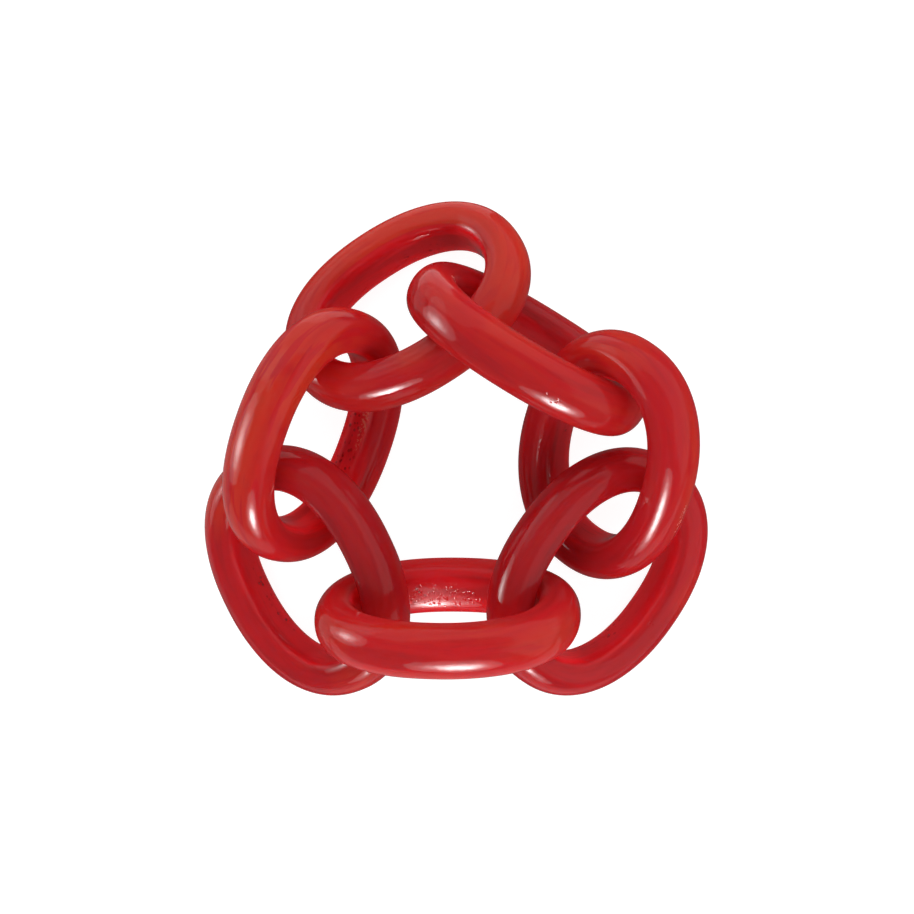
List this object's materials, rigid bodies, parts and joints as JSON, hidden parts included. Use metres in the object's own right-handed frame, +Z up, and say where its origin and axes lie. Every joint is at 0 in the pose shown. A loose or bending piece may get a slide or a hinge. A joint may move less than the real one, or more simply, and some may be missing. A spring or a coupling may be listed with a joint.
{
  "type": "chain link bracelet",
  "caption": "Slip-on bracelet: a closed ring of chunky oval cast-resin links with a D-shaped bar, passed through each other, lying on a table.",
  "frame": {"origin": "on the table under the middle of the ring's outline", "axes": "+Z up from the table, +Y from the bottom link towards the top of the ring, +X to the right"},
  "size_m": [0.086, 0.0844, 0.0341],
  "materials": {
    "resin": "polished deep red cast resin, slightly translucent"
  },
  "bodies": {
    "link_bottom": {"link_bottom": "resin"},
    "link_lower_left": {"link_lower_left": "resin"},
    "link_left": {"link_left": "resin"},
    "link_upper_left": {"link_upper_left": "resin"},
    "link_upper_right": {"link_upper_right": "resin"},
    "link_right": {"link_right": "resin"},
    "link_lower_right": {"link_lower_right": "resin"}
  },
  "joints": [
    {"name": "bottom_to_lower_left", "type": "hinge", "parent": "link_bottom", "child": "link_lower_left", "pos_m": [-0.0135, -0.0235, 0.013], "axis": [0, 0, 1], "range_deg": [-3, 30]},
    {"name": "lower_left_to_left", "type": "hinge", "parent": "link_lower_left", "child": "link_left", "pos_m": [-0.0355, -0.01, 0.019], "axis": [0, 0, 1], "range_deg": [-27.7, 2.86]},
    {"name": "left_to_upper_left", "type": "hinge", "parent": "link_left", "child": "link_upper_left", "pos_m": [-0.0135, 0.0185, 0.015], "axis": [0, 0, 1], "range_deg": [-2.89, 28]},
    {"name": "bottom_to_lower_right", "type": "hinge", "parent": "link_bottom", "child": "link_lower_right", "pos_m": [0.021, -0.0285, 0.016], "axis": [0, 0, 1], "range_deg": [-2.41, 23.2]},
    {"name": "lower_right_to_right", "type": "hinge", "parent": "link_lower_right", "child": "link_right", "pos_m": [0.031, -0.01, 0.016], "axis": [0, 0, 1], "range_deg": [-22.6, 2.35]},
    {"name": "right_to_upper_right", "type": "hinge", "parent": "link_right", "child": "link_upper_right", "pos_m": [0.0285, 0.012, 0.024], "axis": [0, 0, 1], "range_deg": [-1.6, 15.1]}
  ],
  "couplings": [
    {"joint": "lower_left_to_left", "follows": "bottom_to_lower_left", "ratio": -0.92},
    {"joint": "left_to_upper_left", "follows": "bottom_to_lower_left", "ratio": 0.93},
    {"joint": "bottom_to_lower_right", "follows": "bottom_to_lower_left", "ratio": 0.77},
    {"joint": "lower_right_to_right", "follows": "bottom_to_lower_left", "ratio": -0.75},
    {"joint": "right_to_upper_right", "follows": "bottom_to_lower_left", "ratio": 0.5}
  ]
}
